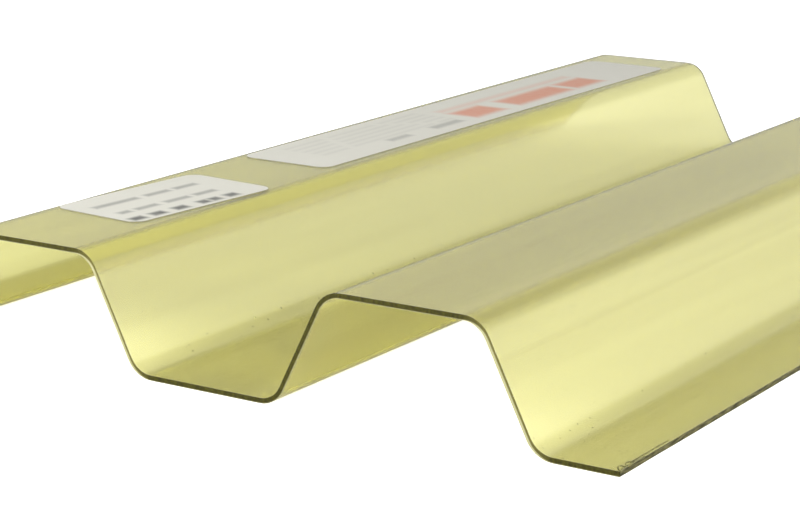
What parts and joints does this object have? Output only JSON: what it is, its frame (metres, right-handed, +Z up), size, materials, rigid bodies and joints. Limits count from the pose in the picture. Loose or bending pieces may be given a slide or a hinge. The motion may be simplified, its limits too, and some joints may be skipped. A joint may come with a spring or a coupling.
{
  "type": "corrugated roofing sheet",
  "caption": "Cut sample of a translucent yellow-green PVC roofing sheet with flat trapezoidal crests and valleys, with paper labels along one crest.",
  "frame": {"origin": "under the middle of the sheet, on the plane that the undersides of the valleys lie on", "axes": "+X across the ribs towards the bare crest, +Y along the ribs towards the end without the small label, +Z up through the crests"},
  "size_m": [0.14, 0.21, 0.019],
  "materials": {
    "tinted_pvc": "smooth translucent",
    "label_paper": "printed label stock"
  },
  "bodies": {
    "root": {"sheet": "tinted_pvc", "small_label": "label_paper", "long_label": "label_paper"}
  },
  "joints": []
}
